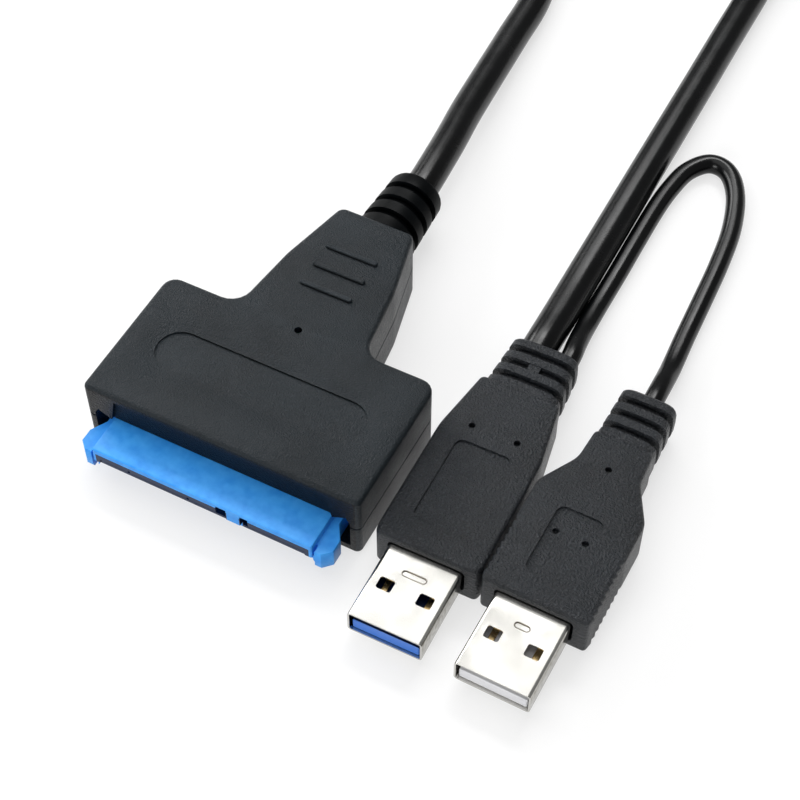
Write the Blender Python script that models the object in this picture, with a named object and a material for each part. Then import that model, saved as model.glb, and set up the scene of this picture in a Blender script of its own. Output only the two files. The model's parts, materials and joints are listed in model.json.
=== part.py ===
"""USB to SATA adapter: a two-piece head with a 22-pin receptacle, a main cord to a
USB 3 plug, and a thin power lead that branches off to a USB 2 plug.

Units are metres. +Z is up, +Y runs from the receptacle to the cord, and the head
stands on z = 0 with its middle over the origin. All other places are measured from
the middle of the housing's front face.
"""

import math

import bpy
from mathutils import Vector

MM = 0.001

# Clearances
GAP = 0.3 * MM  # between pieces that sit in or on each other
SEAT = 0.1 * MM  # under a contact or a chip that lies on its carrier

# Head housing
HOUSING_WIDTH = 48.0 * MM
HOUSING_HEIGHT = 13.4 * MM
BLOCK_DEPTH = 25.3 * MM  # front to back of the wide part
HOUSING_LENGTH = 51.0 * MM  # front face to the end of the neck
NECK_ROOT_WIDTH = 22.6 * MM
NECK_END_WIDTH = 13.6 * MM
NECK_BULGE = 0.7 * MM
WALL = 1.3 * MM
PARTING_HEIGHT = 6.5 * MM
LIP_THICKNESS = 0.8 * MM
LIP_HEIGHT = 1.2 * MM
EDGE_RADIUS = 0.8 * MM
FRONT_CORNER_RADIUS = 1.0 * MM
BACK_CORNER_RADIUS = 2.4 * MM
NECK_FILLET_RADIUS = 3.4 * MM
NECK_CORNER_RADIUS = 1.6 * MM

# Marks on the upper cover
PILL_LENGTH = 36.4 * MM
PILL_WIDTH = 7.9 * MM
PILL_FROM_FRONT = 12.6 * MM
PILL_DEPTH = 0.25 * MM
DISH_WIDTH = 2.0 * MM
DISH_DEPTH = 0.35 * MM
GRIP_COUNT = 3
GRIP_LENGTH = 9.4 * MM
GRIP_WIDTH = 0.9 * MM
GRIP_RISE = 0.45 * MM
GRIP_PITCH = 4.3 * MM
FIRST_GRIP_FROM_FRONT = 33.5 * MM
LIGHT_HOLE_DIAMETER = 1.3 * MM
LIGHT_HOLE_FROM_FRONT = 24.6 * MM

# Receptacle
NOSE_LENGTH = 6.0 * MM
NOSE_WIDTH = 38.4 * MM
NOSE_BOTTOM = 2.9 * MM
NOSE_HEIGHT = 4.2 * MM
NOSE_SETBACK = 0.8 * MM  # the wall under the slots ends behind the one above them
NICK_WIDTH = 0.4 * MM
NICKS = (-12.7 * MM, -2.2 * MM)  # small nicks in the lip over the power slot
NOSE_INSIDE = 6.0 * MM  # how far the body reaches into the housing
FLANGE_RISE = 1.2 * MM  # the body's flange behind the front wall
SLOT_BOTTOM = 3.4 * MM
SLOT_HEIGHT = 1.6 * MM
SLOT_DEPTH = 5.4 * MM
KEY_HEIGHT = 1.5 * MM
POWER_SLOT = (-18.0 * MM, 4.5 * MM)
SIGNAL_SLOT = (6.9 * MM, 18.0 * MM)
POWER_KEY_WIDTH = 1.8 * MM
SIGNAL_KEY_WIDTH = 1.4 * MM
POWER_PIN_COUNT = 15
SIGNAL_PIN_COUNT = 7
PIN_PITCH = 1.27 * MM
PIN_WIDTH = 0.6 * MM
PIN_THICKNESS = 0.25 * MM
PIN_LENGTH = 3.4 * MM
ARM_WIDTH = 2.9 * MM
ARM_WAIST = 1.5 * MM  # the arms narrow by this towards the housing
ARM_NOTCH = 0.4 * MM
ARM_LENGTH = 5.9 * MM
ARM_BOTTOM = 2.0 * MM
ARM_HEIGHT = 3.9 * MM
ARM_CHAMFER = 1.4 * MM
RECESS_DEPTH = 0.5 * MM
RECESS_TOP_MARGIN = 1.3 * MM

# Circuit board
BOARD_WIDTH = 36.0 * MM
BOARD_LENGTH = 34.0 * MM
BOARD_THICKNESS = 1.2 * MM
BOARD_TAIL_WIDTH = 10.0 * MM
BOARD_SHOULDER = 15.0 * MM  # length of the board's wide part
POST_DIAMETER = 2.6 * MM
CAN_LENGTH = 7.0 * MM
CAN_FROM_SIDE = 4.0 * MM
INDUCTOR_FROM_END = 7.3 * MM

# Cord sleeve at the head
SLEEVE_LENGTH = 14.2 * MM
SLEEVE_BASE_DIAMETER = 11.0 * MM
SLEEVE_END_DIAMETER = 9.7 * MM
SLEEVE_NECK_DIAMETER = 6.8 * MM
SLEEVE_GROOVES = 3
SLEEVE_GROOVE_WIDTH = 1.45 * MM
SLEEVE_GROOVE_DEPTH = 0.9 * MM
SLEEVE_GROOVE_PITCH = 3.5 * MM
SLEEVE_END_RING = 2.8 * MM
ANCHOR_LENGTH = 2.0 * MM
ANCHOR_DIAMETER = 8.2 * MM

# USB plugs
SHELL_WIDTH = 12.0 * MM
SHELL_HEIGHT = 4.5 * MM
SHELL_WALL = 0.3 * MM
SHELL_SHOWN = 13.3 * MM
SHELL_INSIDE = 3.0 * MM
SHELL_CORNER = 0.6 * MM
PRESS_DEPTH = 0.12 * MM  # the pressed mark in the middle of a shell's top
WINDOW_WIDTH = 2.4 * MM
WINDOW_LENGTH = 2.1 * MM
WINDOW_FROM_AXIS = 2.0 * MM
WINDOW_FROM_TIP = 5.6 * MM
PRESS_MARK_FROM_TIP = 9.6 * MM
TONGUE_THICKNESS = 1.9 * MM
TONGUE_SETBACK = 0.4 * MM
TONGUE_ROOT = 4.5 * MM  # length of the block that fills the shell behind the opening
CONTACT_WIDTH = 1.0 * MM
CONTACT_LENGTH = 7.2 * MM
CONTACT_THICKNESS = 0.2 * MM
CONTACT_CENTRES = (-3.5 * MM, -1.0 * MM, 1.0 * MM, 3.5 * MM)
FINGER_WIDTH = 0.6 * MM
FINGER_LENGTH = 1.6 * MM
FINGER_CENTRES = (-4.0 * MM, -2.0 * MM, 0.0, 2.0 * MM, 4.0 * MM)
GRIP_HEIGHT = 8.2 * MM
GRIP_EDGE_RADIUS = 0.7 * MM
PANEL_DEPTH = 0.3 * MM
PIN_MARK_DIAMETER = 1.1 * MM
PIN_MARK_DEPTH = 1.0 * MM

# Plugs: x and y of the grip's front face, and its turn
USB3_PLACE = (34.7 * MM, 0.6 * MM, math.radians(0.7))
USB2_PLACE = (52.2 * MM, 0.4 * MM, math.radians(-0.6))

# Cords
MAIN_DIAMETER = 5.9 * MM
LEAD_DIAMETER = 3.4 * MM
STRAIGHT_END = 1.5 * MM  # a cord leaves its relief square to it
COIL_CENTRE = (3.0 * MM, 182.0 * MM)
COIL_DIAMETER = 58.0 * MM  # across the middle of its turns
COIL_LAYERS = 2
TIE_WIDTH = 9.0 * MM
TIE_THICKNESS = 0.5 * MM

# The two cord routes are hand-placed, measured from the housing's front face
HEAD_CORD_ROUTE = (
    (0.0, 65.55, 6.5),
    (0.0, 68.0, 6.5),
    (-0.4, 73.5, 6.25),
    (-1.1, 80.5, 5.7),
    (-2.1, 88.6, 5.0),
    (-3.0, 99.2, 4.2),
    (-3.95, 111.7, 3.4),
    (-4.8, 124.0, 2.97),
    (-7.4, 133.5, 2.97),
    (-12.6, 142.5, 2.97),
    (-19.0, 150.2, 3.1),
    (-24.0, 155.9, 3.6),
    (-26.0, 161.8, 3.9),
)
PLUG_CORD_ROUTE = (
    (31.5, 161.8, 7.0),
    (31.5, 156.0, 5.2),
    (31.5, 150.0, 3.6),
    (31.5, 143.0, 2.97),
    (31.5, 131.0, 2.97),
    (31.6, 118.0, 2.97),
    (31.65, 104.0, 2.97),
    (31.7, 90.0, 2.97),
    (31.8, 76.0, 2.97),
    (31.9, 62.0, 3.05),
    (32.1, 53.0, 3.6),
    (32.23, 47.2, 4.1),
    (32.27, 44.42, 4.1),
)
LEAD_ROUTE = (
    (37.57, 44.5, 4.1),
    (37.54, 47.0, 4.05),
    (37.4, 49.8, 3.4),
    (37.1, 54.5, 2.1),
    (36.9, 61.0, 1.72),
    (36.85, 68.0, 1.72),
    (36.8, 77.0, 1.72),
    (36.75, 85.0, 1.72),
    (36.9, 90.5, 1.72),
    (38.0, 95.6, 1.72),
    (40.8, 98.7, 1.72),
    (44.4, 98.2, 1.72),
    (47.6, 94.2, 1.72),
    (49.8, 86.5, 1.72),
    (50.8, 78.0, 1.72),
    (51.3, 69.0, 1.72),
    (51.7, 60.5, 1.72),
    (52.2, 53.4, 2.1),
    (52.5, 48.6, 3.4),
    (52.62, 45.4, 4.05),
    (52.65, 42.95, 4.1),
)

# Worked out from the sizes above
HEAD_FRONT = (NOSE_LENGTH - HOUSING_LENGTH - SLEEVE_LENGTH) / 2
AXIS_HEIGHT = PARTING_HEIGHT
NOSE_TOP = NOSE_BOTTOM + NOSE_HEIGHT
ARM_OUTER = NOSE_WIDTH / 2 + ARM_WIDTH
BOARD_TOP = NOSE_BOTTOM + NOSE_HEIGHT / 2 + BOARD_THICKNESS / 2
BOARD_FRONT = NOSE_INSIDE + GAP
PLUG_AXIS = GRIP_HEIGHT / 2


# Outlines and solids


def corner_arc(before, corner, after, radius, steps):
    """Points that round one corner of an outline with the given radius."""
    if radius <= 0:
        return [corner]
    first = (before - corner).normalized()
    second = (after - corner).normalized()
    angle = first.angle(second)
    reach = radius / math.tan(angle / 2)
    start = corner + first * reach
    end = corner + second * reach
    middle = corner + (first + second).normalized() * (radius / math.sin(angle / 2))
    turn = (start - middle).angle_signed(end - middle)
    arc = []
    for i in range(steps + 1):
        a = -turn * i / steps
        ray = start - middle
        arc.append(
            middle
            + Vector((ray.x * math.cos(a) - ray.y * math.sin(a), ray.x * math.sin(a) + ray.y * math.cos(a)))
        )
    return arc


def rounded(corners, steps=5):
    """An outline from corners (x, y, radius), listed anticlockwise."""
    points = [Vector(c[:2]) for c in corners]
    outline = []
    for i, corner in enumerate(corners):
        outline += corner_arc(points[i - 1], points[i], points[(i + 1) % len(points)], corner[2], steps)
    return outline


def inset(outline, distance):
    """The outline moved inwards by a distance, point for point."""
    moved = []
    for i, point in enumerate(outline):
        before = (point - outline[i - 1]).normalized()
        after = (outline[(i + 1) % len(outline)] - point).normalized()
        normal = Vector((-before.y - after.y, before.x + after.x)).normalized()
        lean = max(0.3, normal.dot(Vector((-before.y, before.x))))
        moved.append(point + normal * (distance / lean))
    return moved


def mirrored(half):
    """Corners of a shape that is symmetric about x = 0, from its right half."""
    return list(half) + [(-x, y, r) for x, y, r in reversed(half)]


def box_outline(x0, x1, y0, y1, radius=0.0, steps=4):
    corners = [(x0, y0, radius), (x1, y0, radius), (x1, y1, radius), (x0, y1, radius)]
    return rounded(corners, steps)


def circle(x, y, diameter, steps=20):
    turns = [2 * math.pi * i / steps for i in range(steps)]
    return [Vector((x + diameter / 2 * math.cos(a), y + diameter / 2 * math.sin(a))) for a in turns]


def soft_levels(outline, low, high, radius, steps=4, top=True, bottom=True):
    """Levels of a slab whose rims are rounded with the given radius."""
    bend = []
    for i in range(steps + 1):
        a = math.pi / 2 * i / steps
        bend.append((radius * (1 - math.sin(a)), radius * (1 - math.cos(a))))
    lower = [(low + rise, back) for rise, back in reversed(bend)] if bottom else [(low, 0.0)]
    upper = [(high - rise, back) for rise, back in bend] if top else [(high, 0.0)]
    return [(z, inset(outline, back)) for z, back in lower + upper]


def mesh_object(name, points, faces, finish):
    mesh = bpy.data.meshes.new(name)
    mesh.from_pydata(points, [], faces)
    mesh.validate()
    obj = bpy.data.objects.new(name, mesh)
    bpy.context.scene.collection.objects.link(obj)
    mesh.materials.append(finish)
    mesh.shade_smooth()
    mesh.set_sharp_from_angle(angle=math.radians(35))
    return obj


AXES = {
    "up": lambda u, v, w: (u, v, w),
    "back": lambda u, v, w: (u, w, v),
    "side": lambda u, v, w: (w, u, v),
}


def stack(name, levels, finish, along="up"):
    """A solid whose outlines, with the same number of points, lie one above the other."""
    count = len(levels[0][1])
    points = [AXES[along](p.x, p.y, w) for w, outline in levels for p in outline]
    faces = []
    for level in range(len(levels) - 1):
        for i in range(count):
            j = (i + 1) % count
            a = level * count
            faces.append((a + i, a + j, a + count + j, a + count + i))
    faces.append(tuple(reversed(range(count))))
    faces.append(tuple(range(len(points) - count, len(points))))
    if along == "back":
        faces = [tuple(reversed(face)) for face in faces]
    return mesh_object(name, points, faces, finish)


def block(name, x, y, z, finish, radius=0.0, edge=0.0):
    """A block from (low, high) pairs, with round corners in plan and soft rims."""
    outline = box_outline(x[0], x[1], y[0], y[1], radius, 2)
    if edge:
        return stack(name, soft_levels(outline, z[0], z[1], edge, 2), finish)
    return stack(name, [(z[0], outline), (z[1], outline)], finish)


def turned(name, profile, finish, steps=32):
    """A solid turned about its local Z from (radius, height) points, top to bottom."""
    rings = [(r, z) for r, z in profile]
    points = []
    for r, z in rings:
        for i in range(steps):
            a = 2 * math.pi * i / steps
            points.append((r * math.cos(a), r * math.sin(a), z))
    faces = []
    for k in range(len(rings) - 1):
        for i in range(steps):
            j = (i + 1) % steps
            faces.append((k * steps + i, (k + 1) * steps + i, (k + 1) * steps + j, k * steps + j))
    faces.append(tuple(range(steps)))
    faces.append(tuple(reversed(range((len(rings) - 1) * steps, len(rings) * steps))))
    return mesh_object(name, points, faces, finish)


def ring(name, section, finish, steps=40):
    """A closed ring turned about its local Z from a section of (radius, height) points."""
    count = len(section)
    points = []
    for i in range(steps):
        a = 2 * math.pi * i / steps
        points += [(p.x * math.cos(a), p.x * math.sin(a), p.y) for p in section]
    faces = []
    for i in range(steps):
        j = (i + 1) % steps
        for k in range(count):
            m = (k + 1) % count
            faces.append((i * count + k, j * count + k, j * count + m, i * count + m))
    return mesh_object(name, points, faces, finish)


def oval(width, height, steps=24, fullness=3.0):
    """A closed oval outline, fuller at the corners than an ellipse."""
    outline = []
    for i in range(steps):
        a = 2 * math.pi * i / steps
        c, s = math.cos(a), math.sin(a)
        x = width / 2 * math.copysign(abs(c) ** (2 / fullness), c)
        z = height / 2 * math.copysign(abs(s) ** (2 / fullness), s)
        outline.append(Vector((x, z)))
    return outline


def combine(target, tool, operation):
    """Joins a tool to a solid or cuts it out, and keeps the tool as a hidden guide."""
    tool.hide_render = True
    tool.display_type = "WIRE"
    tool.parent = target
    modifier = target.modifiers.new(tool.name, "BOOLEAN")
    modifier.operation = operation
    modifier.object = tool
    modifier.solver = "EXACT"


def cut(target, *tools):
    for tool in tools:
        combine(target, tool, "DIFFERENCE")


def fuse(target, *tools):
    for tool in tools:
        combine(target, tool, "UNION")


def finish_of(name, colour, roughness, metallic=0.0):
    material = bpy.data.materials.new(name)
    material.use_nodes = True
    shader = material.node_tree.nodes["Principled BSDF"]
    shader.inputs["Base Color"].default_value = (*colour, 1.0)
    shader.inputs["Roughness"].default_value = roughness
    shader.inputs["Metallic"].default_value = metallic
    return material


# Head housing


def housing_outline(distance=0.0, steps=5):
    """The housing's outline in plan, inset by a distance."""
    half = HOUSING_WIDTH / 2 - distance
    back = BLOCK_DEPTH - distance
    root = NECK_ROOT_WIDTH / 2 - distance
    end = NECK_END_WIDTH / 2 - distance
    middle = (root + end) / 2 + NECK_BULGE
    length = HOUSING_LENGTH - distance
    bend = back + (length - back) * 0.5
    corner = [
        (half, distance, max(0.3 * MM, FRONT_CORNER_RADIUS - distance)),
        (half, back, max(0.4 * MM, BACK_CORNER_RADIUS - distance)),
        (root, back, NECK_FILLET_RADIUS + distance),
        (middle, bend, 12 * MM),
        (end, length, max(0.4 * MM, NECK_CORNER_RADIUS - distance)),
    ]
    return rounded(mirrored(corner), steps)


def front_opening(name, margin, extra_height=0.0):
    """The hole in the front wall, with raised corners over the guide arms."""
    half = NOSE_WIDTH / 2 + margin
    outer = ARM_OUTER + margin
    top = NOSE_TOP + margin + extra_height
    corners = [
        (outer, ARM_BOTTOM - margin, 0.0),
        (outer, top, 0.0),
        (outer - 0.7 * MM, top + 1.2 * MM, 0.0),
        (half, top, 0.0),
    ]
    outline = rounded(mirrored(corners))
    return stack(name, [(-1 * MM, outline), (NOSE_INSIDE + GAP, outline)], BLACK, "back")


def pill(width, length, steps=10):
    centre = PILL_FROM_FRONT
    half = length / 2
    side = width / 2
    radius = side * 0.999
    return box_outline(-half, half, centre - side, centre + side, radius, steps)


def housing_edge(outline, at, inward):
    """Levels from the parting line to an outer face whose rim is rounded."""
    levels = []
    for i in range(5):
        a = math.pi / 2 * i / 4
        z = at - inward * EDGE_RADIUS * (1 - math.sin(a))
        levels.append((z, inset(outline, EDGE_RADIUS * (1 - math.cos(a)))))
    return levels


def sleeve_hole(name):
    outline = circle(0, AXIS_HEIGHT, SLEEVE_NECK_DIAMETER + 2 * GAP, 24)
    deep = WALL + LIP_THICKNESS + 2 * GAP
    return stack(name, [(HOUSING_LENGTH - deep - 1 * MM, outline), (HOUSING_LENGTH + 1 * MM, outline)], BLACK, "back")


def make_upper_cover():
    outline = housing_outline()
    low = PARTING_HEIGHT + GAP / 2
    levels = [(low, outline)] + housing_edge(outline, HOUSING_HEIGHT, 1)
    cover = stack("upper_cover", levels, BLACK)
    hollow = housing_outline(WALL)
    cut(cover, stack("upper_hollow", [(low - 1 * MM, hollow), (HOUSING_HEIGHT - WALL, hollow)], BLACK))
    cut(cover, front_opening("upper_front_opening", GAP), sleeve_hole("upper_sleeve_hole"))
    top = HOUSING_HEIGHT
    dish = [
        (top + 1 * MM, DISH_WIDTH + 0.5 * MM),
        (top, DISH_WIDTH),
        (top - DISH_DEPTH * 0.75, DISH_WIDTH * 0.45),
        (top - DISH_DEPTH, 0.0),
        (top - DISH_DEPTH - PILL_DEPTH, 0.0),
    ]
    panel = pill(PILL_WIDTH, PILL_LENGTH)
    cut(cover, stack("pill_recess", [(z, inset(panel, -d)) for z, d in reversed(dish)], BLACK))
    hole = circle(0, LIGHT_HOLE_FROM_FRONT, LIGHT_HOLE_DIAMETER, 16)
    cut(cover, stack("light_hole", [(top - 2 * WALL, hole), (top + 1 * MM, hole)], BLACK))
    recess_low = NOSE_TOP - 0.5 * MM
    recess_high = HOUSING_HEIGHT - RECESS_TOP_MARGIN
    recess = rounded(
        mirrored([(NOSE_WIDTH / 2 + GAP, recess_low, 0.0), (NOSE_WIDTH / 2 - 0.8 * MM, recess_high, 0.0)])
    )
    cut(cover, stack("front_recess", [(-1 * MM, recess), (RECESS_DEPTH, recess)], BLACK, "back"))
    for i in range(GRIP_COUNT):
        y = FIRST_GRIP_FROM_FRONT + i * GRIP_PITCH
        bar = box_outline(
            -GRIP_LENGTH / 2,
            GRIP_LENGTH / 2,
            y - GRIP_WIDTH / 2,
            y + GRIP_WIDTH / 2,
            GRIP_WIDTH * 0.49,
        )
        levels = [(top - WALL / 2, bar), (top + GRIP_RISE * 0.6, bar), (top + GRIP_RISE, inset(bar, 0.15 * MM))]
        fuse(cover, stack(f"grip_bar_{i + 1}", levels, BLACK))
    return cover


def make_lower_cover():
    outline = housing_outline()
    high = PARTING_HEIGHT - GAP / 2
    levels = housing_edge(outline, 0.0, -1)[::-1] + [(high, outline)]
    cover = stack("lower_cover", levels, BLACK)
    lip = housing_outline(WALL + GAP)
    fuse(cover, stack("locating_lip", [(high - 2 * MM, lip), (high + LIP_HEIGHT, lip)], BLACK))
    hollow = housing_outline(WALL + GAP + LIP_THICKNESS)
    cut(cover, stack("lower_hollow", [(WALL, hollow), (high + LIP_HEIGHT + 1 * MM, hollow)], BLACK))
    cut(cover, front_opening("lower_front_opening", GAP, LIP_HEIGHT), sleeve_hole("lower_sleeve_hole"))
    for i, (x, y) in enumerate(board_posts()):
        post = circle(x, y, POST_DIAMETER, 12)
        top = BOARD_TOP - BOARD_THICKNESS - GAP
        fuse(cover, stack(f"board_post_{i + 1}", [(WALL / 2, post), (top, post)], BLACK))
    return cover


def board_posts():
    """Centres of the four posts that carry the board."""
    x = BOARD_WIDTH / 2 - POST_DIAMETER
    near = BOARD_FRONT + POST_DIAMETER
    far = BOARD_FRONT + BOARD_LENGTH - POST_DIAMETER
    tail = BOARD_TAIL_WIDTH / 2 - POST_DIAMETER / 2
    return [(x, near), (-x, near), (tail, far), (-tail, far)]


# Receptacle and board


def slot_outline(ends, key_width, key_at_low):
    """A contact slot seen from the front, with its upward key at one end."""
    x0, x1 = ends
    low = SLOT_BOTTOM
    high = SLOT_BOTTOM + SLOT_HEIGHT
    key = high + KEY_HEIGHT
    if key_at_low:
        corners = [(x0, low), (x1, low), (x1, high), (x0 + key_width, high), (x0 + key_width, key), (x0, key)]
    else:
        corners = [(x0, low), (x1, low), (x1, key), (x1 - key_width, key), (x1 - key_width, high), (x0, high)]
    return [Vector(c) for c in corners]


def make_receptacle():
    nose = box_outline(-NOSE_WIDTH / 2, NOSE_WIDTH / 2, NOSE_BOTTOM, NOSE_TOP, 0.25 * MM, 2)
    tip = inset(nose, 0.15 * MM)
    body = stack("sata_connector_body", [(-NOSE_LENGTH, tip), (-NOSE_LENGTH + 0.2 * MM, nose), (NOSE_INSIDE, nose)], BLUE, "back")
    inner = WALL + LIP_THICKNESS + 2 * GAP
    flange = box_outline(
        -ARM_OUTER,
        ARM_OUTER,
        NOSE_BOTTOM - FLANGE_RISE / 2,
        NOSE_TOP + FLANGE_RISE,
        0.3 * MM,
        2,
    )
    fuse(body, stack("connector_flange", [(inner + GAP, flange), (NOSE_INSIDE, flange)], BLUE, "back"))
    for side in (-1, 1):
        inside = NOSE_WIDTH / 2 - 0.3 * MM
        front = -ARM_LENGTH
        root = inner + 2 * GAP
        waist = ARM_OUTER - ARM_WAIST
        corners = [
            (side * inside, front, 0.0),
            (side * (ARM_OUTER - ARM_CHAMFER), front, 0.0),
            (side * ARM_OUTER, front + ARM_CHAMFER, 0.0),
            (side * ARM_OUTER, front + ARM_LENGTH * 0.6, 0.0),
            (side * waist, 0.2 * MM, 0.0),
            (side * waist, root, 0.0),
            (side * inside, root, 0.0),
        ]
        outline = rounded(corners if side > 0 else corners[::-1])
        tapered = inset(outline, 0.25 * MM)
        levels = [
            (ARM_BOTTOM, tapered),
            (ARM_BOTTOM + 0.5 * MM, outline),
            (ARM_BOTTOM + ARM_HEIGHT - 0.2 * MM, outline),
            (ARM_BOTTOM + ARM_HEIGHT, inset(outline, 0.12 * MM)),
        ]
        name = "right" if side > 0 else "left"
        fuse(body, stack(f"guide_arm_{name}", levels, BLUE))
        edge = sorted((side * NOSE_WIDTH / 2, side * (NOSE_WIDTH / 2 + ARM_NOTCH)))
        notch = block(f"arm_notch_{name}", edge, (-NOSE_LENGTH - 1 * MM, -NOSE_LENGTH + 2 * NOSE_SETBACK), (0.0, NOSE_TOP), BLUE)
        cut(body, notch)
    for name, ends, key, at_low in (
        ("power", POWER_SLOT, POWER_KEY_WIDTH, False),
        ("signal", SIGNAL_SLOT, SIGNAL_KEY_WIDTH, True),
    ):
        outline = slot_outline(ends, key, at_low)
        levels = [(-NOSE_LENGTH - 1 * MM, outline), (-NOSE_LENGTH + SLOT_DEPTH, outline)]
        cut(body, stack(f"{name}_slot", levels, BLUE, "back"))
    front = -NOSE_LENGTH - 1 * MM
    back = -NOSE_LENGTH + NOSE_SETBACK
    half = NOSE_WIDTH / 2 + ARM_NOTCH / 2
    middle = SLOT_BOTTOM + SLOT_HEIGHT / 2
    cut(body, block("lower_setback", (-half, half), (front, back), (0.0, middle), BLUE))
    lip = SLOT_BOTTOM + SLOT_HEIGHT
    for i, x in enumerate(NICKS):
        wide = (x - NICK_WIDTH / 2, x + NICK_WIDTH / 2)
        cut(body, block(f"lip_nick_{i + 1}", wide, (front, back), (lip - NICK_WIDTH, lip + NICK_WIDTH), BLUE))
    make_receptacle_contacts()
    return body


def make_receptacle_contacts():
    """Spring contacts on the floor of the two slots."""
    rows = ((POWER_PIN_COUNT, POWER_SLOT, "power"), (SIGNAL_PIN_COUNT, SIGNAL_SLOT, "signal"))
    back = -NOSE_LENGTH + SLOT_DEPTH - GAP
    low = SLOT_BOTTOM + SEAT
    for count, ends, name in rows:
        middle = (ends[0] + ends[1]) / 2
        for i in range(count):
            x = middle + (i - (count - 1) / 2) * PIN_PITCH
            side = [
                (back - PIN_LENGTH, low),
                (back, low),
                (back, low + PIN_THICKNESS),
                (back - PIN_LENGTH * 0.45, low + PIN_THICKNESS),
                (back - PIN_LENGTH * 0.7, low + 2.4 * PIN_THICKNESS),
                (back - PIN_LENGTH * 0.95, low + PIN_THICKNESS),
            ]
            outline = [Vector(p) for p in side]
            levels = [(x - PIN_WIDTH / 2, outline), (x + PIN_WIDTH / 2, outline)]
            stack(f"{name}_contact_{i + 1:02d}", levels, GOLD, "side")


def make_board():
    half = BOARD_WIDTH / 2
    tail = BOARD_TAIL_WIDTH / 2
    front = BOARD_FRONT
    shoulder = front + BOARD_SHOULDER
    corners = [
        (half, front, 0.5 * MM),
        (half, shoulder, 1.5 * MM),
        (tail, shoulder + 3 * MM, 2 * MM),
        (tail, front + BOARD_LENGTH, 0.8 * MM),
    ]
    outline = rounded(mirrored(corners), 3)
    stack("circuit_board", [(BOARD_TOP - BOARD_THICKNESS, outline), (BOARD_TOP, outline)], GREEN)
    floor = BOARD_TOP + SEAT
    block("bridge_chip", (-4 * MM, 4 * MM), (11 * MM, 19 * MM), (floor, floor + 1.1 * MM), CHIP, 0.3 * MM, 0.15 * MM)
    block("memory_chip", (7 * MM, 11 * MM), (12 * MM, 17 * MM), (floor, floor + 1.4 * MM), CHIP, 0.2 * MM, 0.15 * MM)
    can = -BOARD_WIDTH / 2 + CAN_FROM_SIDE
    block("crystal_can", (can, can + CAN_LENGTH), (14 * MM, 17 * MM), (floor, floor + 3.0 * MM), STEEL, 1.4 * MM, 0.3 * MM)
    block("ceramic_capacitor", (-12 * MM, -9 * MM), (9 * MM, 10.6 * MM), (floor, floor + 0.9 * MM), TAN, 0.1 * MM, 0.1 * MM)
    coil = turned("power_inductor", [(2.2 * MM, 2.6 * MM), (2.4 * MM, 2.3 * MM), (2.4 * MM, 0.3 * MM), (2.2 * MM, 0)], CHIP, 24)
    coil.location = (0, front + BOARD_LENGTH - INDUCTOR_FROM_END, floor)
    lens_top = HOUSING_HEIGHT - WALL - BOARD_TOP - 1 * MM
    lens = [(0.9 * MM * math.cos(a), lens_top - 0.9 * MM * (1 - math.sin(a))) for a in (1.5, 1.2, 0.8, 0.4, 0.0)]
    lamp = turned("status_lamp", lens + [(0.9 * MM, 0.6 * MM), (1.2 * MM, 0.6 * MM), (1.2 * MM, 0)], LENS, 12)
    lamp.location = (0, LIGHT_HOLE_FROM_FRONT, floor)


def make_sleeve():
    """The ribbed sleeve on the cord, with the neck and anchor that the covers trap."""
    base = SLEEVE_BASE_DIAMETER / 2
    end = SLEEVE_END_DIAMETER / 2
    neck = SLEEVE_NECK_DIAMETER / 2
    start = GAP

    def radius(y):
        return base + (end - base) * (y - start) / (SLEEVE_LENGTH - start)

    profile = [(end - 0.6 * MM, SLEEVE_LENGTH), (end - 0.15 * MM, SLEEVE_LENGTH - 0.25 * MM)]
    profile.append((radius(SLEEVE_LENGTH - 0.7 * MM), SLEEVE_LENGTH - 0.7 * MM))
    top = SLEEVE_LENGTH - SLEEVE_END_RING
    for i in range(SLEEVE_GROOVES):
        low = top - SLEEVE_GROOVE_WIDTH
        profile += [
            (radius(top), top),
            (radius(top) - SLEEVE_GROOVE_DEPTH, top - 0.15 * MM),
            (radius(low) - SLEEVE_GROOVE_DEPTH, low + 0.15 * MM),
            (radius(low), low),
        ]
        top -= SLEEVE_GROOVE_PITCH
    anchor = -WALL - LIP_THICKNESS - 2 * GAP
    profile += [(base, start + 0.3 * MM), (base - 0.3 * MM, start), (neck, start)]
    wide = ANCHOR_DIAMETER / 2
    profile += [(neck, anchor - GAP), (wide, anchor - GAP), (wide, anchor - GAP - ANCHOR_LENGTH)]
    sleeve = turned("cord_sleeve", profile, RUBBER, 28)
    sleeve.rotation_euler = (-math.pi / 2, 0, 0)
    sleeve.location = (0, HOUSING_LENGTH, AXIS_HEIGHT)
    return sleeve


# Plugs, each built along its own axis with the grip's front face at y = 0


def shell_outline(width, height, radius):
    half_height = height / 2
    return box_outline(-width / 2, width / 2, PLUG_AXIS - half_height, PLUG_AXIS + half_height, radius, 4)


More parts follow.
